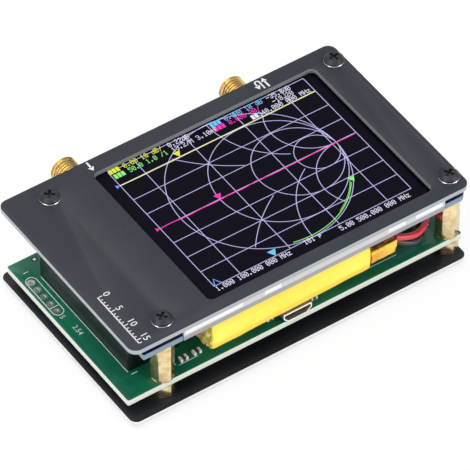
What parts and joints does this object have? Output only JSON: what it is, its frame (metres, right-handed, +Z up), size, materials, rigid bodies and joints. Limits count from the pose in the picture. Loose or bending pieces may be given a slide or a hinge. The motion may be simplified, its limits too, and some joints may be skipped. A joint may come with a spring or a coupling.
{
  "type": "handheld antenna analyzer",
  "caption": "Open stack of a back plate, circuit board, display and windowed panel on brass standoffs, with coaxial ports, a pouch battery, push buttons and a slide switch.",
  "frame": {"origin": "middle of the part's box, on the plane that the four screw heads under the back plate rest on", "axes": "+Z up through the front panel, +Y along the coaxial ports, +X towards the short edge with the buttons and the switch"},
  "size_m": [0.091, 0.0664, 0.0263],
  "materials": {
    "black_board": "black solder mask over glass-fibre board, satin",
    "green_board": "green solder mask, glossy",
    "blue_board": "dark blue solder mask, glossy",
    "brass": "turned hexagon brass, pale",
    "gold": "gold-plated brass, threaded",
    "black_screw": "black oxide steel",
    "shield_metal": "dark coated sheet steel",
    "chip_black": "moulded chip epoxy",
    "white_tray": "white moulded tray",
    "light_guide": "clear light guide and films",
    "screen_glass": "dark glass with a lit picture behind it",
    "cell_tape": "yellow film tape",
    "amber_tape": "amber film tape",
    "foam": "double-sided foam",
    "red_silicone": "red silicone insulation",
    "black_silicone": "black silicone insulation",
    "white_nylon": "natural nylon",
    "insulator_white": "white fluoropolymer",
    "steel": "tin-plated sheet steel",
    "button_black": "moulded plunger",
    "light_white": "white ceramic and clear resin"
  },
  "bodies": {
    "root": {"back_plate": "black_board", "front_panel": "black_board", "main_board": "green_board", "display_board": "blue_board", "plate_screws": "black_screw", "panel_screws": "black_screw", "lower_standoffs": "brass", "upper_standoffs": "brass", "panel_spacers": "brass", "rf_shield": "shield_metal", "radio_chips": "chip_black", "display_frame": "white_tray", "display_backlight": "light_guide", "display_glass": "screen_glass", "battery_cell": "cell_tape", "battery_safety_circuit": "amber_tape", "battery_foam_pads": "foam", "battery_lead_red": "red_silicone", "battery_lead_black": "black_silicone", "battery_plug": "white_nylon", "battery_socket": "white_nylon", "port_1_connector": "gold", "port_1_insulator": "insulator_white", "port_1_contact": "gold", "port_2_connector": "gold", "port_2_insulator": "insulator_white", "port_2_contact": "gold", "usb_shell": "steel", "usb_tongue": "chip_black", "button_left_housing": "steel", "button_enter_housing": "steel", "button_right_housing": "steel", "power_switch_housing": "steel", "header_pins": "gold", "header_base": "chip_black", "header_socket": "chip_black", "microcontroller": "chip_black", "clock_chips": "chip_black", "charger_chips": "chip_black", "status_lights": "light_white", "small_parts": "light_white"},
    "button_left": {"button_left_plunger": "button_black"},
    "button_enter": {"button_enter_plunger": "button_black"},
    "button_right": {"button_right_plunger": "button_black"},
    "power_switch": {"power_switch_knob": "button_black"}
  },
  "joints": [
    {"name": "button_left_press", "type": "slide", "parent": "root", "child": "button_left", "axis": [-1, 0, 0], "range_m": [0, 0.00025], "stiffness_N_per_m": 4000},
    {"name": "button_enter_press", "type": "slide", "parent": "root", "child": "button_enter", "axis": [-1, 0, 0], "range_m": [0, 0.00025], "stiffness_N_per_m": 4000},
    {"name": "button_right_press", "type": "slide", "parent": "root", "child": "button_right", "axis": [-1, 0, 0], "range_m": [0, 0.00025], "stiffness_N_per_m": 4000},
    {"name": "power_switch_slide", "type": "slide", "parent": "root", "child": "power_switch", "axis": [0, 1, 0], "range_m": [0, 0.002]}
  ]
}
